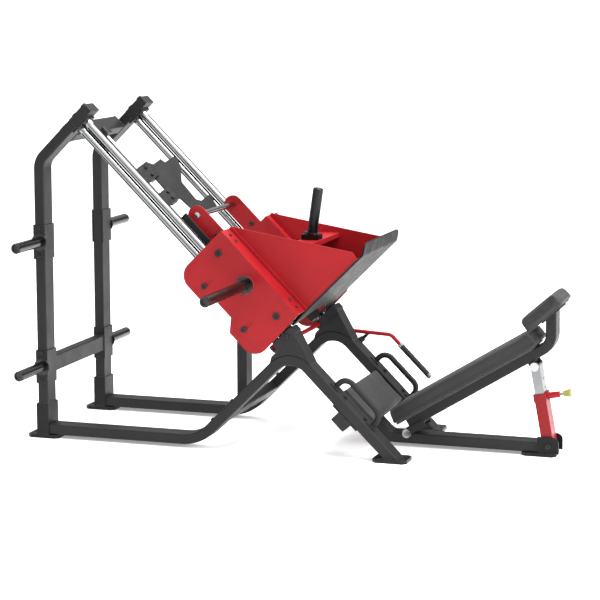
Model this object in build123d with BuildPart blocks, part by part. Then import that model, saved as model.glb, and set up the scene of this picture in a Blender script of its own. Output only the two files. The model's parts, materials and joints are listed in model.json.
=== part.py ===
from build123d import *
from math import cos, radians, sin, sqrt
import os

os.makedirs("parts", exist_ok=True)

# A plate-loaded leg press. X runs from the rear posts to the seat, Y across the machine (left is -Y,
# the user's left hand), Z up from the floor. Side views are drawn with X measured from the rear faces
# of the posts, and MID moves them so that the machine stands centred on the origin.

# ---- driving dimensions, mm ----
MID = 1231.0
DIAG = sqrt(0.5)

TUBE_W = 100.0
TUBE_D = 50.0
TUBE_WALL = 3.0
TUBE_CORNER = 7.0
FRAME_Y = 343.0
INNER_Y = FRAME_Y - TUBE_W / 2
OUTER_Y = FRAME_Y + TUBE_W / 2
PLATE = 16.0

POST_X = 25.0
HEAD_P = -927.0
HEAD_END_Q = 1217.0
HEAD_FACE_P = HEAD_P + TUBE_D / 2
RISE_P = 552.0
LEG_Q = 1254.0
LEG_TOP_Q = LEG_Q + TUBE_D / 2
FLOOR_R = 200.0
ARCH_R = 115.0
BEAM_Z = PLATE + TUBE_D / 2

ROD_R = 19.0
ROD_QS = (1216.0, 1259.0)
ROD_TOP_P = HEAD_FACE_P + 10.0
FOOT_P = 474.0
SADDLE_P = 512.0

PLATE_IN_Y = 398.0
PLATE_OUT_Y = 406.0
EAR_Y = 245.0
EAR_T = 8.0
DECK_Q = 1399.0
DECK_T = 6.0
DECK_START = 300.0
TRAY_Y = 290.0
BEARING_Y = 290.0
BUSH_R = 21.0
SHELF_X = 1212.0
SHELF_Z = 961.0
FOOT_PLATE_P = 460.0
FOOT_PLATE_Y = 300.0
CATCH_P = -224.0
CATCH_Q = 1317.0
CATCH_R = 14.0
SLED_HORN_P = 191.0
SLED_HORN_Q = 1312.0
SLED_HORN_TIP = 935.0

HORN_R = 24.7
HORN_BORE_R = 15.0
HORN_BORE_DEPTH = 6.0
STORE_ZS = (347.0, 950.0)
STORE_TIP = 656.0

LOCK_Q = 1157.0
LOCK_R = 13.5
HOOK_SWING = 47.0
RELEASE_P = 493.0
RELEASE_Q = 1205.0
RELEASE_R = 11.0
HANDLE_Y = 420.0
RELEASE_SWING = 29.0
LINK_P = 413.0
LINK_Y = 48.0

BACK_ANGLE = 31.65
HINGE = (1747.0, 66.0)
BEAM_END_X = 2380.0
STRUT_TOP = (2350.0, 419.0)
STRUT_FOOT = (2420.0, 48.0)
PIN_R = 8.0
HINGE_PIN_R = 10.0
RUN = 0.06
HOLE_PITCH = 42.0
LATCH_S = 229.0
LATCH_OUT = 30.0
LATCH_R = 6.0
SLEEVE_TOP = 248.0

FLOOR_HOLES = [(-34, -FRAME_Y), (-34, FRAME_Y), (1816, -FRAME_Y), (1816, FRAME_Y)]

BACK_N = -824.8
BACK_START = 1548.0
BACK_CORNER = (2424.0, 525.0)
PAD_BACK_N = -790.0
PAD_FACE_N = -723.0
HEAD_BACK = -33.0
HEAD_LENGTH = 215.0
PAD_ROUND = 8.0
HEADREST = (2390.2, 681.0)
HEADREST_ANGLE = 41.6


# ---- drawing planes ----
def side(y=0.0):
    """Side view: local x is along the machine, local y is height; extrudes towards the left."""
    return Plane(origin=(-MID, y, 0), x_dir=(1, 0, 0), z_dir=(0, -1, 0))


def rail(y=0.0):
    """Side view turned 45 degrees: local x runs down the rods (p), local y away from them (q)."""
    return Plane(origin=(-MID, y, 0), x_dir=(DIAG, 0, -DIAG), z_dir=(0, -1, 0))


def across(p, q=0.0, y=0.0):
    """Plane square to the rods: local x is q, local y points left; extrudes down the rods."""
    centre = (-MID + (p + q) * DIAG, y, (q - p) * DIAG)
    return Plane(origin=centre, x_dir=(DIAG, 0, DIAG), z_dir=(DIAG, 0, -DIAG))


def leaning(y=0.0):
    """Side view turned to the back pad: local x runs up the pad (t), local y out of it (n)."""
    up = (cos(radians(BACK_ANGLE)), 0, sin(radians(BACK_ANGLE)))
    return Plane(origin=(-MID, y, 0), x_dir=up, z_dir=(0, -1, 0))


def resting_head(y=0.0):
    """Side view centred on the headrest and turned to it."""
    along = (cos(radians(HEADREST_ANGLE)), 0, sin(radians(HEADREST_ANGLE)))
    return Plane(origin=(HEADREST[0] - MID, y, HEADREST[1]), x_dir=along, z_dir=(0, -1, 0))


def strut(y=0.0):
    """Side view from the strut's foot pivot: local x runs up the strut (s), local y forward."""
    dx = STRUT_TOP[0] - STRUT_FOOT[0]
    dz = STRUT_TOP[1] - STRUT_FOOT[1]
    return Plane(origin=(STRUT_FOOT[0] - MID, y, STRUT_FOOT[1]), x_dir=(dx, 0, dz), z_dir=(0, -1, 0))


def fork_face():
    """Side view from the release shaft, turned so that its x axis lies along the fork at rest."""
    x, z = rail_point(RELEASE_P, RELEASE_Q)
    rest = radians(-45 - RELEASE_SWING / 2)
    return Plane(origin=(x - MID, -LINK_Y, z), x_dir=(cos(rest), 0, sin(rest)), z_dir=(0, -1, 0))


def hook(z=0.0):
    """Plane through the lock rod, swung to the right: local x is p, local y the radius."""
    swing = radians(HOOK_SWING)
    normal = (DIAG * sin(swing), -cos(swing), DIAG * sin(swing))
    centre = (-MID + LOCK_Q * DIAG + z * normal[0], z * normal[1], LOCK_Q * DIAG + z * normal[2])
    return Plane(origin=centre, x_dir=(DIAG, 0, -DIAG), z_dir=normal)


def rail_point(p, q):
    """The side-view point of a rod-plane point."""
    return ((p + q) * DIAG, (q - p) * DIAG)


def rail_face(p, q, y, along, out):
    """Plane at a rod-plane point, facing along the rods, out of them, or sideways (out is None)."""
    x, z = rail_point(p, q)
    normal = (0, along, 0) if out is None else ((along + out) * DIAG, 0, (out - along) * DIAG)
    return Plane(origin=(x - MID, y, z), z_dir=normal)


def latch_face(up=0.0, out=0.0):
    """Plane on the front of the strut sleeve's collar, facing forward, raised along the strut."""
    dx = (STRUT_TOP[0] - STRUT_FOOT[0]) / strut_length()
    dz = (STRUT_TOP[1] - STRUT_FOOT[1]) / strut_length()
    x = STRUT_FOOT[0] + (LATCH_S + up) * dx + (LATCH_OUT + out) * dz
    z = STRUT_FOOT[1] + (LATCH_S + up) * dz - (LATCH_OUT + out) * dx
    return Plane(origin=(x - MID, 0, z), z_dir=(dz, 0, -dx))


def lean_point(t, n):
    """The side-view point of a point given along and out of the back pad."""
    c = cos(radians(BACK_ANGLE))
    k = sin(radians(BACK_ANGLE))
    return (t * c - n * k, t * k + n * c)


def lean_of(x, z):
    """Along-pad and out-of-pad coordinates of a side-view point."""
    c = cos(radians(BACK_ANGLE))
    k = sin(radians(BACK_ANGLE))
    return (x * c + z * k, z * c - x * k)


def head_point(a, m):
    """The side-view point of a point given along and out of the headrest."""
    c = cos(radians(HEADREST_ANGLE))
    k = sin(radians(HEADREST_ANGLE))
    return (HEADREST[0] + a * c - m * k, HEADREST[1] + a * k + m * c)


def strut_length():
    """Distance between the strut's two pivots."""
    return sqrt((STRUT_TOP[0] - STRUT_FOOT[0]) ** 2 + (STRUT_TOP[1] - STRUT_FOOT[1]) ** 2)


# ---- shapes used more than once ----
def tube_along(run, width=TUBE_W, depth=TUBE_D):
    """Round-cornered steel tube swept along a wire."""
    with BuildPart() as tube:
        with BuildSketch(Plane(origin=run @ 0, x_dir=(0, 1, 0), z_dir=run % 0)):
            RectangleRounded(width, depth, TUBE_CORNER)
            RectangleRounded(
                width - 2 * TUBE_WALL, depth - 2 * TUBE_WALL, TUBE_CORNER - TUBE_WALL, mode=Mode.SUBTRACT
            )
        sweep(path=run)
    return tube


def cross_tube(plane, centre, length, wide, tall):
    """Straight tube across the machine, drawn in one of the side views."""
    with BuildPart() as tube:
        with BuildSketch(plane):
            with Locations(centre):
                RectangleRounded(wide, tall, TUBE_CORNER)
                RectangleRounded(
                    wide - 2 * TUBE_WALL, tall - 2 * TUBE_WALL, TUBE_CORNER - TUBE_WALL, mode=Mode.SUBTRACT
                )
        extrude(amount=length / 2, both=True)
    return tube


def rear_post(y):
    """Upright tube, bent forward at the top to face the rods squarely."""
    with BuildLine(side(y)) as run:
        FilletPolyline(
            (POST_X, PLATE),
            (POST_X, POST_X - HEAD_P / DIAG),
            rail_point(HEAD_P, HEAD_END_Q),
            radius=90,
        )
    return tube_along(run.wires()[0])


def base_tube(y):
    """Floor tube that rises to the arch and comes down again as the front leg."""
    rise = RISE_P / DIAG
    fall = LEG_Q / DIAG
    arch_x = (rise + fall) / 2
    with BuildLine(side(y)) as run:
        corners = Polyline(
            (POST_X + TUBE_D / 2 + 6, BEAM_Z),
            (rise + BEAM_Z, BEAM_Z),
            (arch_x, fall - arch_x),
            (fall + 30, -30),
        )
        fillet(corners.vertices()[1], radius=FLOOR_R)
        fillet(run.vertices().sort_by(Axis.Z)[-1], radius=ARCH_R)
    swept = tube_along(run.wires()[0])
    with BuildPart() as tube:
        add(swept.part)
        with Locations((fall - MID, y, PLATE - 100)):
            Box(400, 200, 200, mode=Mode.SUBTRACT)
    return tube


def rail_cap(y):
    """Head block on the end of the post, with the plate that the rods bolt to."""
    with BuildPart() as cap:
        with BuildSketch(rail(y)):
            with Locations((HEAD_P, HEAD_END_Q + 55)):
                Rectangle(TUBE_D, 110)
        extrude(amount=TUBE_W / 2, both=True)
        chamfer(cap.edges().filter_by(Axis.Y).group_by(Axis.Z)[-1], length=5)
        with BuildSketch(rail(y)):
            with Locations((HEAD_FACE_P + 5, (ROD_QS[0] + ROD_QS[1]) / 2)):
                Rectangle(10, 98)
        extrude(amount=46, both=True)
    return cap


def guide_rods(y):
    """The two stacked shafts of one side."""
    with BuildPart() as rods:
        with BuildSketch(across(ROD_TOP_P, 0, y)):
            with Locations(*[(q, 0) for q in ROD_QS]):
                Circle(ROD_R)
        extrude(amount=FOOT_P - ROD_TOP_P)
    return rods


def rail_foot(y):
    """Moulded block that holds the lower ends of the rods."""
    with BuildPart() as foot:
        with BuildSketch(rail(y)):
            with Locations(((FOOT_P + SADDLE_P) / 2, 1258)):
                Rectangle(SADDLE_P - FOOT_P, 144)
        extrude(amount=TUBE_W / 2, both=True)
        chamfer(foot.edges().filter_by(Axis.Y), length=6)
    return foot


def rail_saddle(y):
    """Gusset box that carries the lower ends of the rods on the arch."""
    reach = ARCH_R + TUBE_D / 2 + 0.05
    with BuildPart() as saddle:
        with BuildSketch(rail(y)):
            with BuildLine():
                centre_p = RISE_P + ARCH_R
                centre_q = LEG_Q - ARCH_R
                Polyline(
                    (centre_p - reach, centre_q),
                    (SADDLE_P, centre_q + 26),
                    (SADDLE_P, 1324),
                    (centre_p, centre_q + reach),
                )
                ThreePointArc(
                    (centre_p, centre_q + reach),
                    (centre_p - reach * DIAG, centre_q + reach * DIAG),
                    (centre_p - reach, centre_q),
                )
            make_face()
        extrude(amount=TUBE_W / 2, both=True)
    return saddle


def storage_horns(s):
    """Two plate-storage horns of one side, each with its stop ring and bored end."""
    faces = [Plane(origin=(POST_X - MID, s * (OUTER_Y + 5), z), z_dir=(0, s, 0)) for z in STORE_ZS]
    length = STORE_TIP - OUTER_Y - 5
    with BuildPart() as horns:
        for face in faces:
            with BuildSketch(face):
                Circle(HORN_R)
            extrude(amount=length)
        tips = horns.faces().filter_by(Axis.Y).group_by(Axis.Y)[-1 if s > 0 else 0]
        chamfer(tips.edges(), length=5)
        for face in faces:
            with BuildSketch(face):
                Circle(38)
            extrude(amount=9)
            with BuildSketch(face.offset(length)):
                Circle(HORN_BORE_R)
            extrude(amount=-HORN_BORE_DEPTH, mode=Mode.SUBTRACT)
    return horns


def grab_handle(y):
    """Round-bar handle standing on the front leg."""
    with BuildPart() as handle:
        with BuildLine(rail(y)) as run:
            FilletPolyline(
                (815, LEG_TOP_Q + 5),
                (815, LEG_TOP_Q + 71),
                (1062, LEG_TOP_Q + 71),
                (1062, LEG_TOP_Q + 5),
                radius=45,
            )
        with BuildSketch(Plane(origin=run.wires()[0] @ 0, z_dir=run.wires()[0] % 0)):
            Circle(14)
        sweep(path=run.wires()[0])
        with BuildSketch(rail(y)):
            with Locations((815, LEG_TOP_Q + 2.5), (1062, LEG_TOP_Q + 2.5)):
                Rectangle(56, 5)
        extrude(amount=24, both=True)
    return handle


def bearing_block(s):
    """Upper and lower rod-bearing housings of one side, joined by the inner guide bar."""
    with BuildPart() as block:
        for start, end in ((-60, 30), (365, 460)):
            with BuildSketch(rail(s * (BEARING_Y + PLATE_IN_Y) / 2)):
                with Locations(((start + end) / 2, 1261)):
                    Rectangle(end - start, 142)
            extrude(amount=(PLATE_IN_Y - BEARING_Y) / 2, both=True)
        with BuildSketch(rail(s * (BEARING_Y + 8))):
            with Locations((100, 1283)):
                Rectangle(722, 30)
        extrude(amount=8, both=True)
        with BuildSketch(across(-100, 0, s * FRAME_Y)):
            with Locations(*[(q, 0) for q in ROD_QS]):
                Circle(BUSH_R)
        extrude(amount=600, mode=Mode.SUBTRACT)
        with BuildSketch(across(30, 0, s * FRAME_Y)):
            with Locations(((ROD_QS[0] + ROD_QS[1]) / 2, 0)):
                Rectangle(90, 50)
        extrude(amount=335, mode=Mode.SUBTRACT)
    return block


def bushings():
    """Plain liners inside the bearing housings."""
    with BuildPart() as liners:
        for s in (-1, 1):
            for start, end in ((-60, 30), (365, 460)):
                with BuildSketch(across(start, 0, s * FRAME_Y)):
                    with Locations(*[(q, 0) for q in ROD_QS]):
                        Circle(BUSH_R)
                        Circle(ROD_R + RUN, mode=Mode.SUBTRACT)
                extrude(amount=end - start)
    return liners


def side_plate(s):
    """Outer sled plate: two lobes below, adjusting slots and bolt holes."""
    with BuildPart() as plate:
        with BuildSketch(rail(s * (PLATE_IN_Y + PLATE_OUT_Y) / 2)) as outline:
            with BuildLine():
                Polyline(
                    (-66, DECK_Q),
                    (-66, 1100),
                    (86, 1100),
                    (134, 1153),
                    (252, 1153),
                    (298, 1097),
                    (474, 1097),
                    (464, DECK_Q),
                    close=True,
                )
            make_face()
            corners = outline.vertices()
            fillet([v for v in corners if v.Y < 1120 and (v.X < 0 or v.X > 400)], radius=72)
            fillet([v for v in corners if v.Y < 1200 and 0 < v.X < 400], radius=60)
        extrude(amount=(PLATE_OUT_Y - PLATE_IN_Y) / 2, both=True)
        with BuildSketch(rail(s * PLATE_OUT_Y)):
            with Locations((60, 1182), (334, 1182)):
                SlotOverall(64, 19, rotation=90)
        extrude(amount=3, both=True, mode=Mode.SUBTRACT)
    return plate


def ear_plate(s):
    """Inner sled plate with the ear that carries the catch shaft."""
    with BuildPart() as plate:
        with BuildSketch(rail(s * (EAR_Y + EAR_T / 2))):
            with Locations((CATCH_P, CATCH_Q)):
                Circle(45)
            with Locations(((CATCH_P + 60) / 2, CATCH_Q)):
                Rectangle(60 - CATCH_P, 90)
            with Locations((195, (1272 + DECK_Q) / 2)):
                Rectangle(522, DECK_Q - 1272)
            with Locations((CATCH_P, CATCH_Q)):
                Circle(CATCH_R, mode=Mode.SUBTRACT)
        extrude(amount=EAR_T / 2, both=True)
        for p in (-20, 420):
            with BuildSketch(rail(s * (EAR_Y + EAR_T + BEARING_Y) / 2)):
                with Locations((p, 1285)):
                    Rectangle(40, 26)
            extrude(amount=(BEARING_Y - EAR_Y - EAR_T) / 2, both=True)
    return plate


def sled_tray():
    """Folded tray: side panels, bolting strips, front deck, cross member and the horn's shelf."""
    with BuildPart() as tray:
        for s in (-1, 1):
            with BuildSketch(rail(s * (TRAY_Y + 3))):
                with BuildLine():
                    Polyline(
                        (-64, DECK_Q),
                        (-64, DECK_Q + 19),
                        (421, 1764),
                        (FOOT_PLATE_P, 1758),
                        (FOOT_PLATE_P, DECK_Q),
                        close=True,
                    )
                make_face()
            extrude(amount=3, both=True)
            with BuildSketch(rail(s * (EAR_Y + PLATE_OUT_Y) / 2)):
                with Locations((198, DECK_Q + DECK_T / 2)):
                    Rectangle(524, DECK_T)
            extrude(amount=(PLATE_OUT_Y - EAR_Y) / 2, both=True)
            with BuildSketch(rail(s * (TRAY_Y + 9))):
                with Locations((198, DECK_Q + 11)):
                    Rectangle(524, 22)
            extrude(amount=3, both=True)
            with BuildSketch(rail(s * (TRAY_Y - 20))):
                with Locations((FOOT_PLATE_P - 3, 1575)):
                    Rectangle(6, 350)
            extrude(amount=20, both=True)
        with BuildSketch(rail()):
            with Locations(((DECK_START + FOOT_PLATE_P) / 2, DECK_Q + DECK_T / 2)):
                Rectangle(FOOT_PLATE_P - DECK_START, DECK_T)
            with Locations((FOOT_PLATE_P - 3, DECK_Q + 40)):
                Rectangle(6, 80)
        extrude(amount=TRAY_Y, both=True)
        with BuildSketch(side()):
            with Locations((SHELF_X, (SHELF_Z + 772) / 2)):
                Rectangle(6, SHELF_Z - 772)
            with Locations((SHELF_X + 46, SHELF_Z)):
                Rectangle(98, 6)
            with Locations((SHELF_X + 92, SHELF_Z - 10)):
                Rectangle(6, 20)
        extrude(amount=TRAY_Y, both=True)
    return tray


def foot_plate_shape():
    """Flat steel plate, arched out below, with its upper edge rolled back."""
    with BuildPart() as plate:
        with BuildLine(rail()) as run:
            FilletPolyline(
                (FOOT_PLATE_P + 4, 1306),
                (FOOT_PLATE_P + 4, 1790),
                (FOOT_PLATE_P - 28, 1838),
                radius=20,
            )
        with BuildSketch(Plane(origin=run.wires()[0] @ 0, x_dir=(0, 1, 0), z_dir=run.wires()[0] % 0)):
            Rectangle(2 * FOOT_PLATE_Y, 8)
        sweep(path=run.wires()[0])
        with BuildSketch(across(FOOT_PLATE_P - 60)):
            for s in (-1, 1):
                with Locations((1300, s * FOOT_PLATE_Y)):
                    Rectangle(60, 32)
            Polygon((1290, -260), (1375, -90), (1375, 90), (1290, 260), align=None)
        extrude(amount=120, mode=Mode.SUBTRACT)
        corners = plate.edges().filter_by(lambda e: 7.5 < e.length < 8.5).sort_by(Axis.Z)[-2:]
        fillet(corners, radius=36)
    return plate


def bolt_head(plane, radius=10.0, height=9.0):
    """Socket-head bolt standing on a face."""
    with BuildPart() as head:
        with BuildSketch(plane):
            Circle(radius)
        extrude(amount=height)
        chamfer(head.faces().sort_by(Axis(plane.origin, plane.z_dir))[-1].edges(), length=1.5)
        with BuildSketch(plane.offset(height)):
            RegularPolygon(radius * 0.45, 6)
        extrude(amount=-height * 0.5, mode=Mode.SUBTRACT)
    return head


def backrest_weldment():
    """Bent tube under the pads, with the hinge yoke and the strut ears."""
    hinge = lean_of(*HINGE)
    pivot = lean_of(*STRUT_TOP)
    with BuildLine(side()) as run:
        FilletPolyline(
            lean_point(BACK_START, BACK_N),
            BACK_CORNER,
            head_point(34.5, HEAD_BACK + 26),
            radius=80,
        )
    swept = tube_along(run.wires()[0])
    with BuildPart() as frame:
        add(swept.part)
        with BuildSketch(resting_head()):
            with Locations((0, HEAD_BACK + 50)):
                Rectangle(400, 100)
        extrude(amount=200, both=True, mode=Mode.SUBTRACT)
        with BuildSketch(resting_head()):
            with Locations((16.5, HEAD_BACK - 3)):
                Rectangle(120, 6)
        extrude(amount=55, both=True)
        with BuildSketch(leaning()):
            with Locations(((BACK_START + 1622) / 2, BACK_N - 28)):
                Rectangle(1622 - BACK_START, 6)
        extrude(amount=58.5, both=True)
        for s in (-1, 1):
            with BuildSketch(leaning(s * 54.5)):
                with Locations(hinge):
                    Circle(21)
                with Locations(((hinge[0] + 1622) / 2, hinge[1] + 4)):
                    Rectangle(1622 - hinge[0], 34)
                with Locations(hinge):
                    Circle(HINGE_PIN_R + RUN, mode=Mode.SUBTRACT)
            extrude(amount=4, both=True)
            with BuildSketch(leaning(s * 46.25)):
                with Locations(pivot):
                    Circle(20)
                with Locations((pivot[0], (pivot[1] + BACK_N - 25) / 2)):
                    Rectangle(40, BACK_N - 25 - pivot[1])
                with Locations(pivot):
                    Circle(PIN_R, mode=Mode.SUBTRACT)
            extrude(amount=3.75, both=True)
    return frame


def seat_beam_shape():
    """Beam from the front cross tube to the seat's foot, with the backrest's hinge tube."""
    with BuildLine(side()) as run:
        FilletPolyline(
            rail_point(991, 1198),
            (1198 / DIAG - BEAM_Z, BEAM_Z),
            (BEAM_END_X, BEAM_Z),
            radius=60,
        )
    swept = tube_along(run.wires()[0])
    with BuildPart() as beam:
        add(swept.part)
        with BuildSketch(side()):
            with Locations(HINGE):
                Circle(22)
        extrude(amount=50, both=True)
        with BuildSketch(side()):
            with Locations(HINGE):
                Circle(HINGE_PIN_R)
        extrude(amount=60, both=True, mode=Mode.SUBTRACT)
    return beam


def release_weldment():
    """Cross shaft with the hand lever at the right and the link fork near the middle."""
    with BuildPart() as lever:
        with BuildSketch(rail(25)):
            with Locations((RELEASE_P, RELEASE_Q)):
                Circle(RELEASE_R)
        extrude(amount=405, both=True)
        with BuildLine(rail(HANDLE_Y)) as run:
            FilletPolyline(
                (RELEASE_P, RELEASE_Q),
                (630, 1279),
                (770, 1405),
                (1054, 1405),
                radius=40,
            )
        with BuildSketch(Plane(origin=run.wires()[0] @ 0, z_dir=run.wires()[0] % 0)):
            Circle(10)
        sweep(path=run.wires()[0])
        with BuildSketch(rail(HANDLE_Y)):
            with Locations((RELEASE_P, RELEASE_Q)):
                Circle(17)
        extrude(amount=14, both=True)
        reach = RELEASE_P - LINK_P
        drop = RELEASE_Q - LOCK_Q - 1
        with BuildSketch(fork_face()):
            with BuildLine():
                Polyline(
                    (14, 12),
                    (-14, 12),
                    (22 - reach, 21 - drop),
                    (-17 - reach, 21 - drop),
                    (-17 - reach, -21 - drop),
                    (26 - reach, -21 - drop),
                    (10, -18),
                    close=True,
                )
            make_face()
            with Locations((-3 - reach, -drop)):
                SlotOverall(52, 22, mode=Mode.SUBTRACT)
            with Locations((-22 - reach, -drop)):
                Rectangle(40, 22, mode=Mode.SUBTRACT)
        extrude(amount=4, both=True)
    return lever


def lock_shaft():
    """Chrome locking shaft with the link finger that the release fork turns."""
    with BuildPart() as shaft:
        with BuildSketch(across(HEAD_FACE_P + 4, LOCK_Q)):
            Circle(LOCK_R)
        extrude(amount=440 - HEAD_FACE_P - 4)
        with BuildSketch(across(LINK_P - 13, LOCK_Q)):
            Circle(22)
        extrude(amount=26)
        tilt = radians(HOOK_SWING / 2)
        centre = (-MID + (LINK_P + LOCK_Q) * DIAG, 0, (LOCK_Q - LINK_P) * DIAG)
        finger = (DIAG * sin(tilt), -cos(tilt), DIAG * sin(tilt))
        with BuildSketch(Plane(origin=centre, z_dir=finger)):
            Circle(5)
        extrude(amount=64)
    return shaft


def hook_shape():
    """Two-toothed catch plate."""
    with BuildPart() as plate:
        with BuildSketch(hook()) as outline:
            with BuildLine():
                Polyline(
                    (-632, 40),
                    (-632, 72),
                    (-612, 84),
                    (-612, 134),
                    (-585, 140),
                    (-583, 196),
                    (-568, 205),
                    (-524, 190),
                    (-457, 134),
                    (-345, 128),
                    (-324, 144),
                    (-326, 198),
                    (-318, 205),
                    (-262, 188),
                    (-248, 150),
                    (-264, 121),
                    (-320, 76),
                    (-398, 68),
                    (-398, 40),
                    close=True,
                )
            make_face()
            tips = [v for v in outline.vertices() if v.Y > 180]
            fillet(tips, radius=5)
            fillet([v for v in outline.vertices() if abs(v.Y - 121) < 1 or abs(v.X + 457) < 1], radius=18)
        extrude(amount=5, both=True)
    return plate


def clamp_blocks():
    """Split blocks that fix the catch plate to the locking shaft."""
    with BuildPart() as blocks:
        for start, end, top in ((-640, -548, 62), (-476, -396, 56)):
            with BuildSketch(hook()):
                with Locations(((start + end) / 2, (top - 24) / 2)):
                    Rectangle(end - start, top + 24)
            extrude(amount=22, both=True)
        chamfer(blocks.edges().group_by(SortBy.LENGTH)[-1], length=3)
        with BuildSketch(hook()):
            with Locations((-515, 60)):
                Rectangle(300, 40.2)
        extrude(amount=5, both=True, mode=Mode.SUBTRACT)
        with BuildSketch(across(-700, LOCK_Q)):
            Circle(LOCK_R)
        extrude(amount=400, mode=Mode.SUBTRACT)
    return blocks


# ---- frame ----
left_rear_post = rear_post(-FRAME_Y)
right_rear_post = rear_post(FRAME_Y)
left_base_tube = base_tube(-FRAME_Y)
right_base_tube = base_tube(FRAME_Y)
top_cross_beam = cross_tube(rail(), (-939.5, 1134), 2 * INNER_Y, 75, 52)
rear_cross_tube = cross_tube(side(), (POST_X, 348.5), 2 * INNER_Y, 50, 79)

with BuildPart() as lower_cross_tube:
    add(cross_tube(rail(), (RISE_P, 783), 2 * INNER_Y, 50, 80).part)
    for s in (-1, 1):
        with BuildSketch(rail(s * (INNER_Y - 4))):
            with Locations((RISE_P, 783)):
                Rectangle(50, 140)
        extrude(amount=4, both=True)

with BuildPart() as centre_post:
    with BuildSketch(side()):
        with BuildLine():
            Polyline((892, 146.8), (942, 196.8), (942, 654.6), (892, 704.6), close=True)
        make_face()
    extrude(amount=40, both=True)
    with BuildSketch(Plane.XY.offset(100)):
        with Locations((917 - MID, 0)):
            Rectangle(44, 74)
    extrude(amount=700, mode=Mode.SUBTRACT)
    with BuildSketch(rail()):
        with Locations((140, 1126)):
            Rectangle(62, 6)
    extrude(amount=34, both=True)

with BuildPart() as leg_cross_tube:
    add(cross_tube(rail(), (951, 1198), 2 * OUTER_Y, 80, 50).part)
    for s in (-1, 1):
        with BuildSketch(rail(s * FRAME_Y)):
            with Locations((950, 1226)):
                Rectangle(160, 6)
        extrude(amount=TUBE_W / 2, both=True)
        with BuildSketch(rail(s * (OUTER_Y - TUBE_WALL / 2))):
            with Locations((951, 1198)):
                RectangleRounded(80, 50, TUBE_CORNER)
        extrude(amount=TUBE_WALL / 2, both=True)

with BuildPart() as rail_caps:
    add(rail_cap(-FRAME_Y).part)
    add(rail_cap(FRAME_Y).part)

left_guide_rods = guide_rods(-FRAME_Y)
right_guide_rods = guide_rods(FRAME_Y)

with BuildPart() as rod_collars:
    for y in (-FRAME_Y, FRAME_Y):
        with BuildSketch(across(ROD_TOP_P, 0, y)):
            with Locations(*[(q, 0) for q in ROD_QS]):
                Circle(21.25)
                Circle(ROD_R, mode=Mode.SUBTRACT)
        extrude(amount=24)

with BuildPart() as rail_feet:
    add(rail_foot(-FRAME_Y).part)
    add(rail_foot(FRAME_Y).part)
    with BuildSketch(rail()):
        with Locations((RELEASE_P, RELEASE_Q)):
            Circle(RELEASE_R + RUN)
    extrude(amount=500, both=True, mode=Mode.SUBTRACT)

with BuildPart() as carriage_bumpers:
    for y in (-FRAME_Y, FRAME_Y):
        with BuildSketch(across(FOOT_P - 13.5, 0, y)):
            with Locations((1303, 0)):
                Circle(20)
        extrude(amount=13.5)
    chamfer(carriage_bumpers.faces().sort_by(Axis.Z)[-2:].edges(), length=3)

left_rail_saddle = rail_saddle(-FRAME_Y)
right_rail_saddle = rail_saddle(FRAME_Y)
left_storage_horns = storage_horns(-1)
right_storage_horns = storage_horns(1)

with BuildPart() as horn_brackets:
    for s in (-1, 1):
        for z, tall in ((347, 160), (950, 164)):
            with Locations((POST_X - MID, s * (FRAME_Y + 2.5), z)):
                Box(60, TUBE_W + 5, tall)
    for s in (-1, 1):
        with Locations((POST_X - MID, s * (FRAME_Y - 10), 700)):
            Box(TUBE_D, TUBE_W + 20, 1200, mode=Mode.SUBTRACT)

with BuildPart() as floor_plates:
    for s in (-1, 1):
        with BuildSketch():
            with Locations((POST_X - MID, s * FRAME_Y)):
                Rectangle(160, 124)
            with Locations((1753.5 - MID, s * FRAME_Y)):
                Rectangle(163, 130)
    with BuildSketch():
        with Locations((2376 - MID, 0)):
            Rectangle(162, 124)
    extrude(amount=PLATE)
    chamfer(floor_plates.edges().filter_by(Axis.Z), length=18)
    with BuildSketch(Plane.XY.offset(PLATE)):
        for s in (-1, 1):
            with Locations((POST_X - MID, s * FRAME_Y)):
                Rectangle(TUBE_D + 12, TUBE_W + 12)
                Rectangle(TUBE_D, TUBE_W, mode=Mode.SUBTRACT)
    extrude(amount=152)
    with BuildSketch(Plane.XY.offset(-1)):
        for x, y in FLOOR_HOLES:
            with Locations((x - MID, y)):
                Circle(7)
    extrude(amount=PLATE + 2, mode=Mode.SUBTRACT)

# ---- seat and strut base ----
seat_beam = seat_beam_shape()

with BuildPart() as strut_clevis:
    for s in (-1, 1):
        with BuildSketch(side(s * 54)):
            with Locations((2420, 54)):
                Rectangle(100, 76)
        extrude(amount=4, both=True)
    fillet(strut_clevis.edges().filter_by(Axis.Y).group_by(Axis.Z)[-1].group_by(Axis.X)[-1], radius=30)
    with BuildSketch(side()):
        with Locations(STRUT_FOOT):
            Circle(PIN_R)
    extrude(amount=60, both=True, mode=Mode.SUBTRACT)

with BuildPart() as hinge_pins:
    with BuildSketch(side()):
        with Locations(HINGE):
            Circle(HINGE_PIN_R)
    extrude(amount=59, both=True)
    for s in (-1, 1):
        with BuildSketch(side(s * 61)):
            with Locations(HINGE):
                Circle(21)
        extrude(amount=2, both=True)

with BuildPart() as seat_board:
    with BuildSketch(rail()):
        with Locations((950, 1229)):
            Rectangle(200, 12)
    extrude(amount=255, both=True)

with BuildPart() as seat_pad:
    with BuildSketch(rail()):
        with Locations((950, 1259)):
            Rectangle(214, 48)
    extrude(amount=262, both=True)
    fillet(seat_pad.edges(), radius=PAD_ROUND)

left_grab_handle = grab_handle(-FRAME_Y)
right_grab_handle = grab_handle(FRAME_Y)

with BuildPart() as handle_rest:
    with BuildSketch(rail(406)):
        with Locations((686, LEG_TOP_Q + 3)):
            Rectangle(30, 6)
    extrude(amount=26, both=True)
    with BuildSketch(rail(420)):
        with BuildLine():
            Polyline((678, LEG_TOP_Q), (694, LEG_TOP_Q), (694, 1320.5), (678, 1306), close=True)
        make_face()
    extrude(amount=12, both=True)

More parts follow.
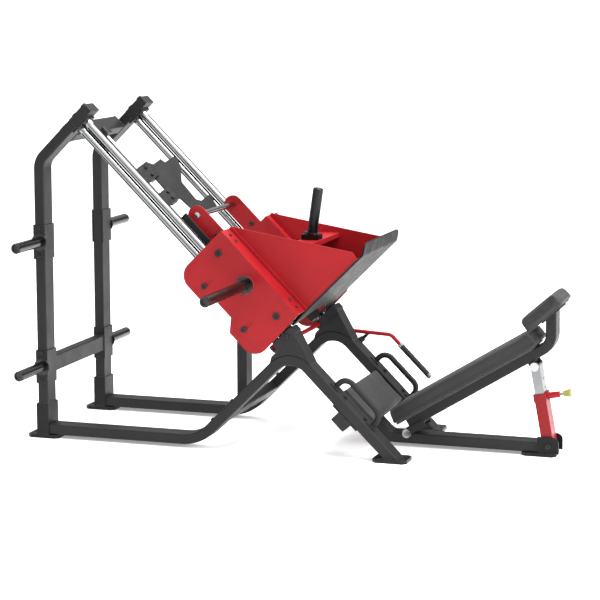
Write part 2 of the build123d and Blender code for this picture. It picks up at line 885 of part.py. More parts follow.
with BuildPart() as lock_bearings:
    for start, end, low, high in ((HEAD_FACE_P, -862, 1118, 1190), (115, 165, 1129, 1188)):
        with BuildSketch(rail()):
            with Locations(((start + end) / 2, (low + high) / 2)):
                Rectangle(end - start, high - low)
        extrude(amount=30, both=True)
    along_rods = Axis((0, 0, 0), (DIAG, 0, -DIAG))
    fillet(lock_bearings.edges().filter_by(along_rods), radius=12)
    with BuildSketch(across(HEAD_FACE_P - 5, LOCK_Q)):
        Circle(LOCK_R + RUN)
    extrude(amount=1200, mode=Mode.SUBTRACT)

# ---- release lever and lock ----
release_handle = release_weldment()

with BuildPart() as release_grip:
    with BuildSketch(across(848, 1405, HANDLE_Y)):
        Circle(14)
        Circle(10, mode=Mode.SUBTRACT)
    extrude(amount=190)

with BuildPart() as grip_rings:
    for p in (834, 1038):
        with BuildSketch(across(p, 1405, HANDLE_Y)):
            Circle(15.5)
            Circle(10, mode=Mode.SUBTRACT)
        extrude(amount=14)
    with BuildSketch(across(1054, 1405, HANDLE_Y)):
        Circle(13)
    extrude(amount=5)

lock_rod = lock_shaft()
hook_plate = hook_shape()
hook_clamps = clamp_blocks()

with BuildPart() as clamp_screws:
    for p, r in ((-618, 8), (-570, 8), (-455, 8), (-418, 8)):
        with BuildSketch(hook(22)):
            with Locations((p, -14), (p, 36)):
                Circle(r)
        extrude(amount=8)

# ---- sled ----
left_side_plate = side_plate(-1)
right_side_plate = side_plate(1)
left_ear_plate = ear_plate(-1)
right_ear_plate = ear_plate(1)
left_bearing_block = bearing_block(-1)
right_bearing_block = bearing_block(1)
rod_bushings = bushings()

with BuildPart() as catch_shaft:
    with BuildSketch(rail()):
        with Locations((CATCH_P, CATCH_Q)):
            Circle(CATCH_R)
    extrude(amount=EAR_Y + EAR_T + 3, both=True)

tray = sled_tray()
foot_plate = foot_plate_shape()

with BuildPart() as side_weight_horns:
    for s in (-1, 1):
        x, z = rail_point(SLED_HORN_P, SLED_HORN_Q)
        face = Plane(origin=(x - MID, s * PLATE_OUT_Y, z), z_dir=(0, s, 0))
        with BuildSketch(face):
            Circle(HORN_R)
        extrude(amount=SLED_HORN_TIP - PLATE_OUT_Y)
        with BuildSketch(face):
            Circle(42)
        extrude(amount=12)
        with BuildSketch(face.offset(SLED_HORN_TIP - PLATE_OUT_Y)):
            Circle(HORN_BORE_R)
        extrude(amount=-HORN_BORE_DEPTH, mode=Mode.SUBTRACT)

with BuildPart() as centre_weight_horn:
    base = Plane(origin=(1258.6 - MID, 0, SHELF_Z + 3), z_dir=(0, 0, 1))
    with BuildSketch(base):
        Rectangle(84, 70)
    extrude(amount=26)
    lean = Plane(origin=(1258.6 - MID, 0, SHELF_Z + 20), z_dir=(sin(radians(8)), 0, cos(radians(8))))
    with BuildSketch(lean):
        Circle(HORN_R)
    extrude(amount=232)
    with BuildSketch(lean):
        Circle(38)
    extrude(amount=16)
    fillet(centre_weight_horn.faces().sort_by(Axis.Z)[-1].edges(), radius=10)

# ---- backrest ----
backrest_frame = backrest_weldment()

with BuildPart() as pad_boards:
    with BuildSketch(leaning()):
        with Locations((1900, PAD_BACK_N - 4.9)):
            Rectangle(744, 9.8)
    extrude(amount=135, both=True)
    with BuildSketch(resting_head()):
        with Locations((0, HEAD_BACK + 2.5)):
            Rectangle(HEAD_LENGTH - 45, 5)
    extrude(amount=122, both=True)

with BuildPart() as back_pad:
    with BuildSketch(leaning()):
        with Locations((1910, (PAD_BACK_N + PAD_FACE_N) / 2)):
            Rectangle(790, PAD_FACE_N - PAD_BACK_N)
    extrude(amount=145, both=True)
    fillet(back_pad.edges(), radius=PAD_ROUND)

with BuildPart() as headrest_pad:
    with BuildSketch(resting_head()):
        with Locations((0, HEAD_BACK + 36.5)):
            Rectangle(HEAD_LENGTH, 63)
    extrude(amount=130, both=True)
    fillet(headrest_pad.edges(), radius=PAD_ROUND)

with BuildPart() as strut_top_pin:
    with BuildSketch(side()):
        with Locations(STRUT_TOP):
            Circle(PIN_R)
    extrude(amount=51, both=True)
    for s in (-1, 1):
        with BuildSketch(side(s * 53)):
            with Locations(STRUT_TOP):
                Circle(21)
        extrude(amount=3, both=True)

# ---- strut ----
with BuildPart() as strut_sleeve:
    with BuildSketch(strut()):
        with Locations((SLEEVE_TOP / 2 - 10, 0)):
            Rectangle(SLEEVE_TOP + 20, 54)
    extrude(amount=47, both=True)
    with BuildSketch(strut()):
        with Locations((SLEEVE_TOP - 19, 0)):
            Rectangle(38, 2 * LATCH_OUT)
    extrude(amount=50, both=True)
    with BuildSketch(strut()):
        with Locations((140, 0)):
            Rectangle(400, 44.6)
    extrude(amount=42.3, both=True, mode=Mode.SUBTRACT)
    with BuildSketch(strut()):
        Circle(PIN_R + RUN)
    extrude(amount=60, both=True, mode=Mode.SUBTRACT)
    with BuildSketch(latch_face()):
        Circle(LATCH_R + RUN)
    extrude(amount=-40, mode=Mode.SUBTRACT)

with BuildPart() as strut_tube:
    top = strut_length()
    with BuildSketch(strut()):
        with Locations(((top + 150) / 2, 0)):
            Rectangle(top - 150, 44)
        with Locations((top, 0)):
            Circle(22)
    extrude(amount=42, both=True)
    with BuildSketch(strut()):
        with Locations((top / 2, 0)):
            Rectangle(2 * top, 38)
    extrude(amount=39, both=True, mode=Mode.SUBTRACT)
    with BuildSketch(strut()):
        with Locations((top, 0)):
            Circle(PIN_R + 3)
    extrude(amount=60, both=True, mode=Mode.SUBTRACT)

    for step in range(4):
        with BuildSketch(latch_face((step - 1) * HOLE_PITCH)):
            Circle(LATCH_R + 1)
        extrude(amount=5 - LATCH_OUT, mode=Mode.SUBTRACT)

with BuildPart() as pop_pin_barrel:
    with BuildSketch(latch_face()):
        Circle(15)
        Circle(LATCH_R + RUN, mode=Mode.SUBTRACT)
    extrude(amount=56)
    with BuildSketch(latch_face()):
        Circle(19)
        Circle(LATCH_R + RUN, mode=Mode.SUBTRACT)
    extrude(amount=6)

with BuildPart() as pop_pin:
    with BuildSketch(latch_face()):
        Circle(LATCH_R)
    extrude(amount=-4)
    with BuildSketch(latch_face()):
        Circle(LATCH_R)
    extrude(amount=80)
    with BuildSketch(latch_face(0, 72)):
        Circle(13)
    with BuildSketch(latch_face(0, 110)):
        Circle(21)
    loft()
    chamfer(pop_pin.faces().sort_by(Axis.X)[-1].edges(), length=4)

# ---- fastenings ----
with BuildPart() as frame_bolts:
    for s in (-1, 1):
        y = s * FRAME_Y
        for q in (716, 851):
            add(bolt_head(rail_face(RISE_P - 25, q, y, -1, 0)).part)
        for p in (883, 1016):
            add(bolt_head(rail_face(p, LEG_TOP_Q, y, 0, 1)).part)
        for q in (1236, 1300):
            add(bolt_head(rail_face(HEAD_P - 25, q, y, -1, 0), 15, 13).part)
        for q in (1065, 1198):
            add(bolt_head(rail_face(HEAD_P - 8, q, s * OUTER_Y, s, None), 9, 7).part)
        add(bolt_head(rail_face(FOOT_P + 19, 1287, s * OUTER_Y, s, None), 11, 8).part)
        for z in (281, 413, 882, 1017):
            add(bolt_head(Plane(origin=(POST_X - MID, s * (OUTER_Y + 5), z), z_dir=(0, s, 0)), 9, 8).part)
    with BuildSketch(side()):
        with Locations(STRUT_FOOT):
            Circle(PIN_R)
    extrude(amount=58, both=True)
    for s in (-1, 1):
        face = Plane(origin=(STRUT_FOOT[0] - MID, s * 58, STRUT_FOOT[1]), z_dir=(0, s, 0))
        add(bolt_head(face, 13, 7).part)

with BuildPart() as carriage_bolts:
    for s in (-1, 1):
        for p in (-1, 396):
            add(bolt_head(rail_face(p, 1322, s * PLATE_OUT_Y, s, None), 17, 7).part)
        for y, out in ((EAR_Y + EAR_T, s), (EAR_Y, -s)):
            add(bolt_head(rail_face(-90, 1322, s * y, out, None), 11, 6).part)
        for p, q in ((60, 1160), (334, 1160)):
            add(bolt_head(rail_face(p, q, s * PLATE_OUT_Y, s, None), 14, 7).part)
        for p in (-30, 8, 380, 424):
            add(bolt_head(rail_face(p, DECK_Q + DECK_T, s * 350, 0, 1), 8, 6).part)

PIECES = {
    "left_rear_post": left_rear_post,
    "right_rear_post": right_rear_post,
    "left_base_tube": left_base_tube,
    "right_base_tube": right_base_tube,
    "top_cross_beam": top_cross_beam,
    "rear_cross_tube": rear_cross_tube,
    "lower_cross_tube": lower_cross_tube,
    "centre_post": centre_post,
    "leg_cross_tube": leg_cross_tube,
    "rail_caps": rail_caps,
    "left_guide_rods": left_guide_rods,
    "right_guide_rods": right_guide_rods,
    "rod_collars": rod_collars,
    "rail_feet": rail_feet,
    "carriage_bumpers": carriage_bumpers,
    "left_rail_saddle": left_rail_saddle,
    "right_rail_saddle": right_rail_saddle,
    "left_storage_horns": left_storage_horns,
    "right_storage_horns": right_storage_horns,
    "horn_brackets": horn_brackets,
    "floor_plates": floor_plates,
    "frame_bolts": frame_bolts,
    "seat_beam": seat_beam,
    "strut_clevis": strut_clevis,
    "hinge_pins": hinge_pins,
    "seat_board": seat_board,
    "seat_pad": seat_pad,
    "left_grab_handle": left_grab_handle,
    "right_grab_handle": right_grab_handle,
    "handle_rest": handle_rest,
    "lock_bearings": lock_bearings,
    "release_handle": release_handle,
    "release_grip": release_grip,
    "grip_rings": grip_rings,
    "lock_rod": lock_rod,
    "hook_plate": hook_plate,
    "hook_clamps": hook_clamps,
    "clamp_screws": clamp_screws,
    "left_side_plate": left_side_plate,
    "right_side_plate": right_side_plate,
    "left_ear_plate": left_ear_plate,
    "right_ear_plate": right_ear_plate,
    "left_bearing_block": left_bearing_block,
    "right_bearing_block": right_bearing_block,
    "rod_bushings": rod_bushings,
    "catch_shaft": catch_shaft,
    "tray": tray,
    "foot_plate": foot_plate,
    "side_weight_horns": side_weight_horns,
    "centre_weight_horn": centre_weight_horn,
    "carriage_bolts": carriage_bolts,
    "backrest_frame": backrest_frame,
    "pad_boards": pad_boards,
    "back_pad": back_pad,
    "headrest_pad": headrest_pad,
    "strut_top_pin": strut_top_pin,
    "strut_sleeve": strut_sleeve,
    "strut_tube": strut_tube,
    "pop_pin_barrel": pop_pin_barrel,
    "pop_pin": pop_pin,
}

for label, piece in PIECES.items():
    piece.part.label = label
    export_step(piece.part, f"parts/{label}.step")
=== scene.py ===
import json
import math

import bmesh
import bpy
from mathutils import Matrix, Vector


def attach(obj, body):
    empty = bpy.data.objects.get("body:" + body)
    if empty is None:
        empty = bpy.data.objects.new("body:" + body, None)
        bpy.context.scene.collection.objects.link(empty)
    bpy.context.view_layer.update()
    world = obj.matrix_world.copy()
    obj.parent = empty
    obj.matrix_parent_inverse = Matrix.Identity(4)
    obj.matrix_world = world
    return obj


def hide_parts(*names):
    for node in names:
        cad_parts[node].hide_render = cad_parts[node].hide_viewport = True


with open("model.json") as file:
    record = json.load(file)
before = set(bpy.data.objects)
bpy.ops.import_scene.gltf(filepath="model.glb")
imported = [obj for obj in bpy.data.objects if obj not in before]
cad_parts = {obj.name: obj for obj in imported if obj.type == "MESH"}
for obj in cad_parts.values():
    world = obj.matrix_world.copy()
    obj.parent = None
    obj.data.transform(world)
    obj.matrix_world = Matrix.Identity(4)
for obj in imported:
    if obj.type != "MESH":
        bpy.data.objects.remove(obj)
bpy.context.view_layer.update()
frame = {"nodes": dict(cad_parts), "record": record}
NODES = frame["nodes"]

# The machine's own directions, as in the CAD: X towards the seat, Y to the user's right, Z up.
# HALF is how far the rear face of the rear posts stands behind the origin.
# Rail coordinates lie in the side view: p runs down the guide rods and q out from them.
HALF = 1.231
DIAG = math.sqrt(0.5)
DOWN_RODS = Vector((DIAG, 0.0, -DIAG))
OUT_FROM_RODS = Vector((DIAG, 0.0, DIAG))
EAST = Vector((1, 0, 0))
NORTH = Vector((0, 1, 0))
UP = Vector((0, 0, 1))
BACK_ANGLE = math.radians(31.65)
HEADREST_ANGLE = math.radians(41.6)
RAIL_ANGLE = math.radians(-45)

# ---- camera and light ----
CAMERA_PLACE = (2.8439, -8.9778, 2.1453)
CAMERA_TURN = math.radians(17.76)
CAMERA_RISE = math.radians(8.90)
CAMERA_LENS = 119.63
CAMERA_SENSOR = 36.0
FAR_CLIP = 2000.0
FLOOR_REACH = 600.0
FLOOR_LEVEL = -0.001
SKY_STRENGTH = 1.5
# Brightness of the surroundings by how steeply a direction points up: 0 is level or down, 1 upright.
SKY = ((0.0, 0.17), (0.18, 0.10), (0.42, 0.55), (0.66, 1.25))
# Each light's name, place, aim, width and length, and power in watts.
LIGHTS = (
    ("overhead", (1.2, 0.2, 4.6), (0.1, 0.0, 0.6), (4.5, 2.0), 330),
    ("key_right", (5.2, -1.4, 2.5), (0.0, 0.0, 0.7), (1.8, 2.6), 270),
    ("front", (-1.4, -6.4, 3.4), (0.0, 0.0, 0.7), (3.4, 1.0), 10),
)


def camera():
    """Long lens from the user's left and the seat's end, a little above the machine."""
    data = bpy.data.cameras.new("camera")
    data.lens = CAMERA_LENS
    data.sensor_width = CAMERA_SENSOR
    data.clip_end = FAR_CLIP
    level = math.cos(CAMERA_RISE)
    back = Vector((math.sin(CAMERA_TURN) * level, -math.cos(CAMERA_TURN) * level, math.sin(CAMERA_RISE)))
    obj = bpy.data.objects.new("camera", data)
    obj.location = CAMERA_PLACE
    obj.rotation_euler = back.to_track_quat("Z", "Y").to_euler()
    bpy.context.scene.collection.objects.link(obj)
    bpy.context.scene.camera = obj


def area_light(name, place, aim, size, power):
    """Soft rectangular studio light."""
    data = bpy.data.lights.new(name, "AREA")
    data.shape = "RECTANGLE"
    data.size, data.size_y = size
    data.energy = power
    obj = bpy.data.objects.new(name, data)
    obj.location = place
    obj.rotation_euler = (Vector(place) - Vector(aim)).to_track_quat("Z", "Y").to_euler()
    bpy.context.scene.collection.objects.link(obj)


def studio():
    """Surroundings that brighten upwards, a pale floor and the soft lights."""
    world = bpy.data.worlds.new("studio")
    world.use_nodes = True
    tree = world.node_tree
    direction = tree.nodes.new("ShaderNodeTexCoord")
    height = tree.nodes.new("ShaderNodeSeparateXYZ")
    ramp = tree.nodes.new("ShaderNodeValToRGB")
    while len(ramp.color_ramp.elements) < len(SKY):
        ramp.color_ramp.elements.new(0.5)
    for element, (at, level) in zip(ramp.color_ramp.elements, SKY):
        element.position = at
        element.color = (level, level, level, 1.0)
    tree.links.new(direction.outputs["Generated"], height.inputs["Vector"])
    tree.links.new(height.outputs["Z"], ramp.inputs["Fac"])
    tree.links.new(ramp.outputs["Color"], tree.nodes["Background"].inputs["Color"])
    tree.nodes["Background"].inputs["Strength"].default_value = SKY_STRENGTH
    bpy.context.scene.world = world
    bpy.context.scene.view_settings.view_transform = "Standard"
    for light in LIGHTS:
        area_light(*light)
    mesh = bpy.data.meshes.new("floor")
    signs = ((-1, -1), (1, -1), (1, 1), (-1, 1))
    corners = [(a * FLOOR_REACH, b * FLOOR_REACH, FLOOR_LEVEL) for a, b in signs]
    mesh.from_pydata(corners, [], [(0, 1, 2, 3)])
    floor = bpy.data.objects.new("floor", mesh)
    bpy.context.scene.collection.objects.link(floor)
    floor.data.materials.append(floor_material())


# ---- materials ----
class Graph:
    """A new node material with a Principled shader, and short calls to add and join nodes."""

    def __init__(self, name, colour, roughness, metallic=0.0):
        self.material = bpy.data.materials.new(name)
        self.material.use_nodes = True
        self.tree = self.material.node_tree
        self.shader = self.tree.nodes["Principled BSDF"]
        self.shader.inputs["Base Color"].default_value = (*colour, 1.0)
        self.shader.inputs["Roughness"].default_value = roughness
        self.shader.inputs["Metallic"].default_value = metallic
        self.place = self.add("ShaderNodeTexCoord").outputs["Object"]
        self.normal = None

    def add(self, kind, **settings):
        node = self.tree.nodes.new(kind)
        for key, value in settings.items():
            setattr(node, key, value)
        return node

    def join(self, source, target):
        self.tree.links.new(source, target)

    def noise(self, scale, detail=3.0, roughness=0.55, stretch=None):
        node = self.add("ShaderNodeTexNoise")
        node.inputs["Scale"].default_value = scale
        node.inputs["Detail"].default_value = detail
        node.inputs["Roughness"].default_value = roughness
        if stretch is None:
            self.join(self.place, node.inputs["Vector"])
        else:
            mapping = self.add("ShaderNodeMapping")
            mapping.inputs["Scale"].default_value = stretch
            self.join(self.place, mapping.inputs["Vector"])
            self.join(mapping.outputs["Vector"], node.inputs["Vector"])
        return node.outputs["Fac"]

    def along(self, direction, start=0.0):
        """Coordinate of the surface along a direction, counted from start."""
        dot = self.add("ShaderNodeVectorMath", operation="DOT_PRODUCT")
        dot.inputs[1].default_value = direction
        self.join(self.place, dot.inputs[0])
        return self.span(dot.outputs["Value"], 0.0, 1.0, start, 1.0 + start, False)

    def cells(self, scale, feature="F1"):
        node = self.add("ShaderNodeTexVoronoi", feature=feature)
        node.inputs["Scale"].default_value = scale
        self.join(self.place, node.inputs["Vector"])
        return node.outputs["Distance"]

    def span(self, value, low, high, to_low, to_high, clamp=True):
        node = self.add("ShaderNodeMapRange", clamp=clamp)
        for key, number in zip(("From Min", "From Max", "To Min", "To Max"), (low, high, to_low, to_high)):
            node.inputs[key].default_value = number
        self.join(value, node.inputs["Value"])
        return node.outputs["Result"]

    def ramp(self, value, stops):
        node = self.add("ShaderNodeValToRGB")
        while len(node.color_ramp.elements) < len(stops):
            node.color_ramp.elements.new(0.5)
        for element, (at, colour) in zip(node.color_ramp.elements, stops):
            element.position = at
            element.color = (*colour, 1.0)
        self.join(value, node.inputs["Fac"])
        return node.outputs["Color"]

    def mix(self, factor, one, other):
        node = self.add("ShaderNodeMix", data_type="RGBA")
        self.join(factor, node.inputs["Factor"])
        for socket, value in ((node.inputs["A"], one), (node.inputs["B"], other)):
            self.colour_in(value, socket)
        return node.outputs["Result"]

    def colour_in(self, value, socket):
        if isinstance(value, tuple):
            socket.default_value = (*value, 1.0)
        else:
            self.join(value, socket)

    def edges(self, radius):
        """1 where a sharp edge is within radius, 0 on flats."""
        bevel = self.add("ShaderNodeBevel", samples=4)
        bevel.inputs["Radius"].default_value = radius
        geometry = self.add("ShaderNodeNewGeometry")
        dot = self.add("ShaderNodeVectorMath", operation="DOT_PRODUCT")
        self.join(bevel.outputs["Normal"], dot.inputs[0])
        self.join(geometry.outputs["Normal"], dot.inputs[1])
        return self.span(dot.outputs["Value"], 1.0, 0.8, 0.0, 1.0)

    def soften(self, radius):
        """Rounded look on sharp edges, under whatever bump comes after."""
        bevel = self.add("ShaderNodeBevel", samples=4)
        bevel.inputs["Radius"].default_value = radius
        self.normal = bevel.outputs["Normal"]

    def bump(self, height, distance, strength=1.0):
        node = self.add("ShaderNodeBump")
        node.inputs["Distance"].default_value = distance
        node.inputs["Strength"].default_value = strength
        self.join(height, node.inputs["Height"])
        if self.normal is not None:
            self.join(self.normal, node.inputs["Normal"])
        self.normal = node.outputs["Normal"]

    def done(self, colour=None, roughness=None):
        if colour is not None:
            self.join(colour, self.shader.inputs["Base Color"])
        if roughness is not None:
            self.join(roughness, self.shader.inputs["Roughness"])
        if self.normal is not None:
            self.join(self.normal, self.shader.inputs["Normal"])
        return self.material


def darker(colour, factor):
    return tuple(channel * factor for channel in colour)


def floor_material():
    """Pale seamless studio floor with a very faint mottle."""
    g = Graph("studio_floor", (0.86, 0.86, 0.86), 0.9)
    g.shader.inputs["Specular IOR Level"].default_value = 0.0
    g.shader.inputs["Emission Color"].default_value = (1.0, 1.0, 1.0, 1.0)
    g.shader.inputs["Emission Strength"].default_value = 0.3
    tone = g.ramp(g.noise(0.8, 2.0), [(0.3, (0.84, 0.84, 0.84)), (0.7, (0.88, 0.88, 0.88))])
    return g.done(tone)


def powder_coat(name, colour, wear, roughness=0.42, clear=0.03):
    """Baked powder coat: orange-peel surface, slight clouding, thin paler wear on the edges."""
    g = Graph(name, colour, roughness)
    g.shader.inputs["Specular IOR Level"].default_value = 0.14
    g.shader.inputs["Coat Weight"].default_value = clear
    g.shader.inputs["Coat Roughness"].default_value = 0.28
    cloud = g.noise(3.5, 4.0)
    tone = g.ramp(cloud, [(0.3, darker(colour, 0.88)), (0.7, darker(colour, 1.12))])
    speck = g.noise(140.0, 2.0)
    rubbed = g.add("ShaderNodeMath", operation="MULTIPLY")
    g.join(g.edges(0.0016), rubbed.inputs[0])
    g.join(g.span(speck, 0.42, 0.62, 0.0, 0.75), rubbed.inputs[1])
    tone = g.mix(rubbed.outputs["Value"], tone, wear)
    g.soften(0.0022)
    g.bump(g.noise(420.0, 2.0), 0.0004, 0.35)
    g.bump(g.noise(1500.0, 1.0), 0.00015, 0.4)
    return g.done(tone, g.span(g.noise(9.0, 3.0), 0.3, 0.7, roughness - 0.06, roughness + 0.07))


def chrome(name="polished_chrome", level=0.36, roughness=0.12):
    """Hard chrome with faint grinding marks and a trace of smear."""
    colour = (level, level * 1.01, level * 1.03)
    g = Graph(name, colour, roughness, 1.0)
    tone = g.ramp(g.noise(5.0, 3.0), [(0.3, darker(colour, 0.92)), (0.75, darker(colour, 1.08))])
    g.soften(0.0012)
    g.bump(g.noise(260.0, 2.0, stretch=(1.0, 0.06, 1.0)), 0.00005, 0.25)
    smear = g.noise(14.0, 4.0)
    return g.done(tone, g.span(smear, 0.3, 0.75, roughness - 0.04, roughness + 0.10))


def rod_chrome():
    """Polished shaft with a painted reflection: dark and bright stripes set by the way its surface faces, as
    a round bar would mirror them.
    """
    g = Graph("rod_chrome", (0.36, 0.37, 0.38), 0.1, 1.0)
    geometry = g.add("ShaderNodeNewGeometry")
    dot = g.add("ShaderNodeVectorMath", operation="DOT_PRODUCT")
    dot.inputs[1].default_value = OUT_FROM_RODS
    g.join(geometry.outputs["Normal"], dot.inputs[0])
    # Painted reflection: the colour steps from dark to bright and back by the direction the surface faces.
    painted_reflection_bands = [
        (0.0, (0.004, 0.004, 0.004)), (0.30, (0.008, 0.008, 0.009)), (0.36, (0.34, 0.345, 0.35)),
        (0.50, (0.16, 0.162, 0.165)), (0.66, (0.55, 0.555, 0.56)), (0.88, (0.24, 0.242, 0.246)),
        (0.96, (0.03, 0.03, 0.032)),
    ]
    tone = g.ramp(g.span(dot.outputs["Value"], -1.0, 1.0, 0.0, 1.0), painted_reflection_bands)
    return g.done(tone, g.span(g.noise(14.0, 4.0), 0.3, 0.75, 0.10, 0.18))


def horn_steel():
    """Blackened horn steel, polished by plates sliding over it, with long faint scratches."""
    g = Graph("worn_horn_steel", (0.03, 0.03, 0.031), 0.22, 0.9)
    scratch = g.noise(90.0, 3.0, stretch=(1.0, 0.04, 1.0))
    tone = g.ramp(scratch, [(0.35, (0.022, 0.022, 0.023)), (0.7, (0.055, 0.054, 0.053))])
    return g.done(tone, g.span(g.noise(11.0, 3.0), 0.3, 0.7, 0.16, 0.28))


def vinyl(name, colour):
    """Upholstery vinyl: fine pebbled grain with creases and a soft sheen, its dimples darkened as painted
    shade.
    """
    g = Graph(name, colour, 0.55)
    g.shader.inputs["Sheen Weight"].default_value = 0.04
    g.shader.inputs["Specular IOR Level"].default_value = 0.2
    tone = g.ramp(g.noise(7.0, 4.0), [(0.3, darker(colour, 0.86)), (0.7, darker(colour, 1.12))])
    pebble = g.cells(900.0, "SMOOTH_F1")
    g.bump(g.span(pebble, 0.0, 0.6, 0.0, 1.0), 0.0003, 0.55)
    g.bump(g.noise(190.0, 3.0), 0.0003, 0.3)
    g.bump(g.noise(24.0, 2.0), 0.0008, 0.25)
    # Painted shade: the grain's dimples, low in the bump, are made a little darker.
    grain = g.ramp(pebble, [(0.05, (0.55, 0.55, 0.55)), (0.5, (1.0, 1.0, 1.0))])
    shade = g.add("ShaderNodeMix", data_type="RGBA", blend_type="MULTIPLY")
    shade.inputs["Factor"].default_value = 0.35
    g.join(tone, shade.inputs["A"])
    g.join(grain, shade.inputs["B"])
    return g.done(shade.outputs["Result"], g.span(g.noise(11.0, 3.0), 0.3, 0.7, 0.46, 0.62))


def rubber(name, colour=(0.018, 0.018, 0.020), roughness=0.72):
    """Moulded black rubber with a fine matt grain."""
    g = Graph(name, colour, roughness)
    g.shader.inputs["Specular IOR Level"].default_value = 0.15
    tone = g.ramp(g.noise(18.0, 3.0), [(0.3, darker(colour, 0.8)), (0.7, darker(colour, 1.45))])
    g.soften(0.0018)
    g.bump(g.noise(800.0, 2.0), 0.0002, 0.5)
    return g.done(tone, g.span(g.noise(40.0, 2.0), 0.3, 0.7, roughness - 0.08, roughness + 0.08))


def ribbed_grip():
    """Hand grip: foam rubber with fine rings across its length, the grooves between them darkened as painted
    shade.
    """
    g = Graph("grip_rubber", (0.02, 0.02, 0.022), 0.7)
    g.shader.inputs["Specular IOR Level"].default_value = 0.15
    wave = g.add("ShaderNodeTexWave", wave_type="BANDS", bands_direction="X")
    wave.inputs["Scale"].default_value = 60.0
    wave.inputs["Distortion"].default_value = 0.0
    turned = g.add("ShaderNodeMapping")
    turned.inputs["Rotation"].default_value = (0.0, math.radians(45), 0.0)
    g.join(g.place, turned.inputs["Vector"])
    g.join(turned.outputs["Vector"], wave.inputs["Vector"])
    g.bump(wave.outputs["Fac"], 0.0009, 0.6)
    g.bump(g.noise(900.0, 2.0), 0.0002, 0.4)
    # Painted shade: the colour follows the rings' relief, darker in the grooves than on the crests.
    tone = g.ramp(wave.outputs["Fac"], [(0.2, (0.012, 0.012, 0.013)), (0.8, (0.032, 0.032, 0.034))])
    return g.done(tone)


def moulded(name, colour, roughness=0.5):
    """Injection-moulded plastic with spark-eroded texture."""
    g = Graph(name, colour, roughness)
    g.shader.inputs["Specular IOR Level"].default_value = 0.2
    tone = g.ramp(g.noise(12.0, 3.0), [(0.3, darker(colour, 0.85)), (0.7, darker(colour, 1.15))])
    g.soften(0.0015)
    g.bump(g.cells(1100.0), 0.00015, 0.4)
    return g.done(tone, g.span(g.noise(30.0, 2.0), 0.3, 0.7, roughness - 0.06, roughness + 0.08))


def bolt_steel():
    """Black-oxide steel with brighter rubbed corners."""
    g = Graph("bolt_steel", (0.02, 0.02, 0.022), 0.4, 0.35)
    g.shader.inputs["Specular IOR Level"].default_value = 0.2
    tone = g.ramp(g.noise(60.0, 3.0), [(0.3, (0.010, 0.010, 0.011)), (0.7, (0.024, 0.024, 0.026))])
    tone = g.mix(g.edges(0.0012), tone, (0.10, 0.10, 0.105))
    g.soften(0.0008)
    g.bump(g.noise(700.0, 2.0), 0.0001, 0.4)
    return g.done(tone, g.span(g.noise(45.0, 3.0), 0.3, 0.7, 0.26, 0.46))


def bronze():
    """Oiled bearing bronze, machined rings and darker patches."""
    g = Graph("bearing_bronze", (0.5, 0.34, 0.15), 0.35, 1.0)
    tone = g.ramp(g.noise(35.0, 4.0), [(0.3, (0.34, 0.22, 0.09)), (0.7, (0.60, 0.43, 0.2))])
    g.bump(g.noise(400.0, 1.0), 0.0001, 0.4)
    return g.done(tone)


def faced_board():
    """Black-faced plywood board with a faint long grain."""
    g = Graph("faced_board", (0.02, 0.019, 0.018), 0.6)
    grain = g.noise(120.0, 4.0, stretch=(0.12, 1.0, 1.0))
    tone = g.ramp(grain, [(0.3, (0.012, 0.012, 0.012)), (0.75, (0.04, 0.037, 0.034))])
    g.bump(grain, 0.0003, 0.4)
    return g.done(tone)


# The foot plate's band left without painted shade, as its lowest and highest q, and how fast the painted
# shade fades in at both edges.
UNSHADED_BAND = (1.372, 1.770)
SHADE_FADE = 0.010


def tread_plate():
    """Foot plate: hard coat with a raised anti-slip pebble, and painted shade that makes it near black below
    and above a lighter band.
    """
    base = (0.017, 0.017, 0.017)
    g = Graph("foot_plate_coat", base, 0.5)
    g.shader.inputs["Specular IOR Level"].default_value = 0.1
    pebble = g.cells(260.0)
    tone = g.ramp(g.noise(5.0, 4.0), [(0.3, darker(base, 0.88)), (0.7, darker(base, 1.12))])
    tone = g.mix(g.span(pebble, 0.0, 0.25, 0.35, 0.0), tone, darker(base, 1.5))
    height = g.along(OUT_FROM_RODS, HALF * DIAG)
    low, high = UNSHADED_BAND
    # Painted shade: below the band and above it the plate is darkened almost to black.
    tone = g.mix(g.span(height, low, low - SHADE_FADE, 0.0, 1.0), tone, darker(base, 0.2))
    tone = g.mix(g.span(height, high, high + SHADE_FADE, 0.0, 1.0), tone, darker(base, 0.25))
    g.soften(0.002)
    g.bump(g.span(pebble, 0.0, 0.5, 1.0, 0.0), 0.0006, 0.5)
    return g.done(tone, g.span(g.noise(20.0, 3.0), 0.3, 0.7, 0.44, 0.6))


def weld_metal(name, colour):
    """Painted weld bead: the coat over it, a little rougher."""
    g = Graph(name, colour, 0.5)
    tone = g.ramp(g.noise(90.0, 3.0), [(0.3, darker(colour, 0.75)), (0.7, darker(colour, 1.2))])
    g.bump(g.noise(500.0, 2.0), 0.0003, 0.6)
    return g.done(tone)


GREY = (0.0155, 0.0157, 0.0162)
RED = (0.255, 0.0075, 0.0105)
PAD = (0.022, 0.022, 0.0225)

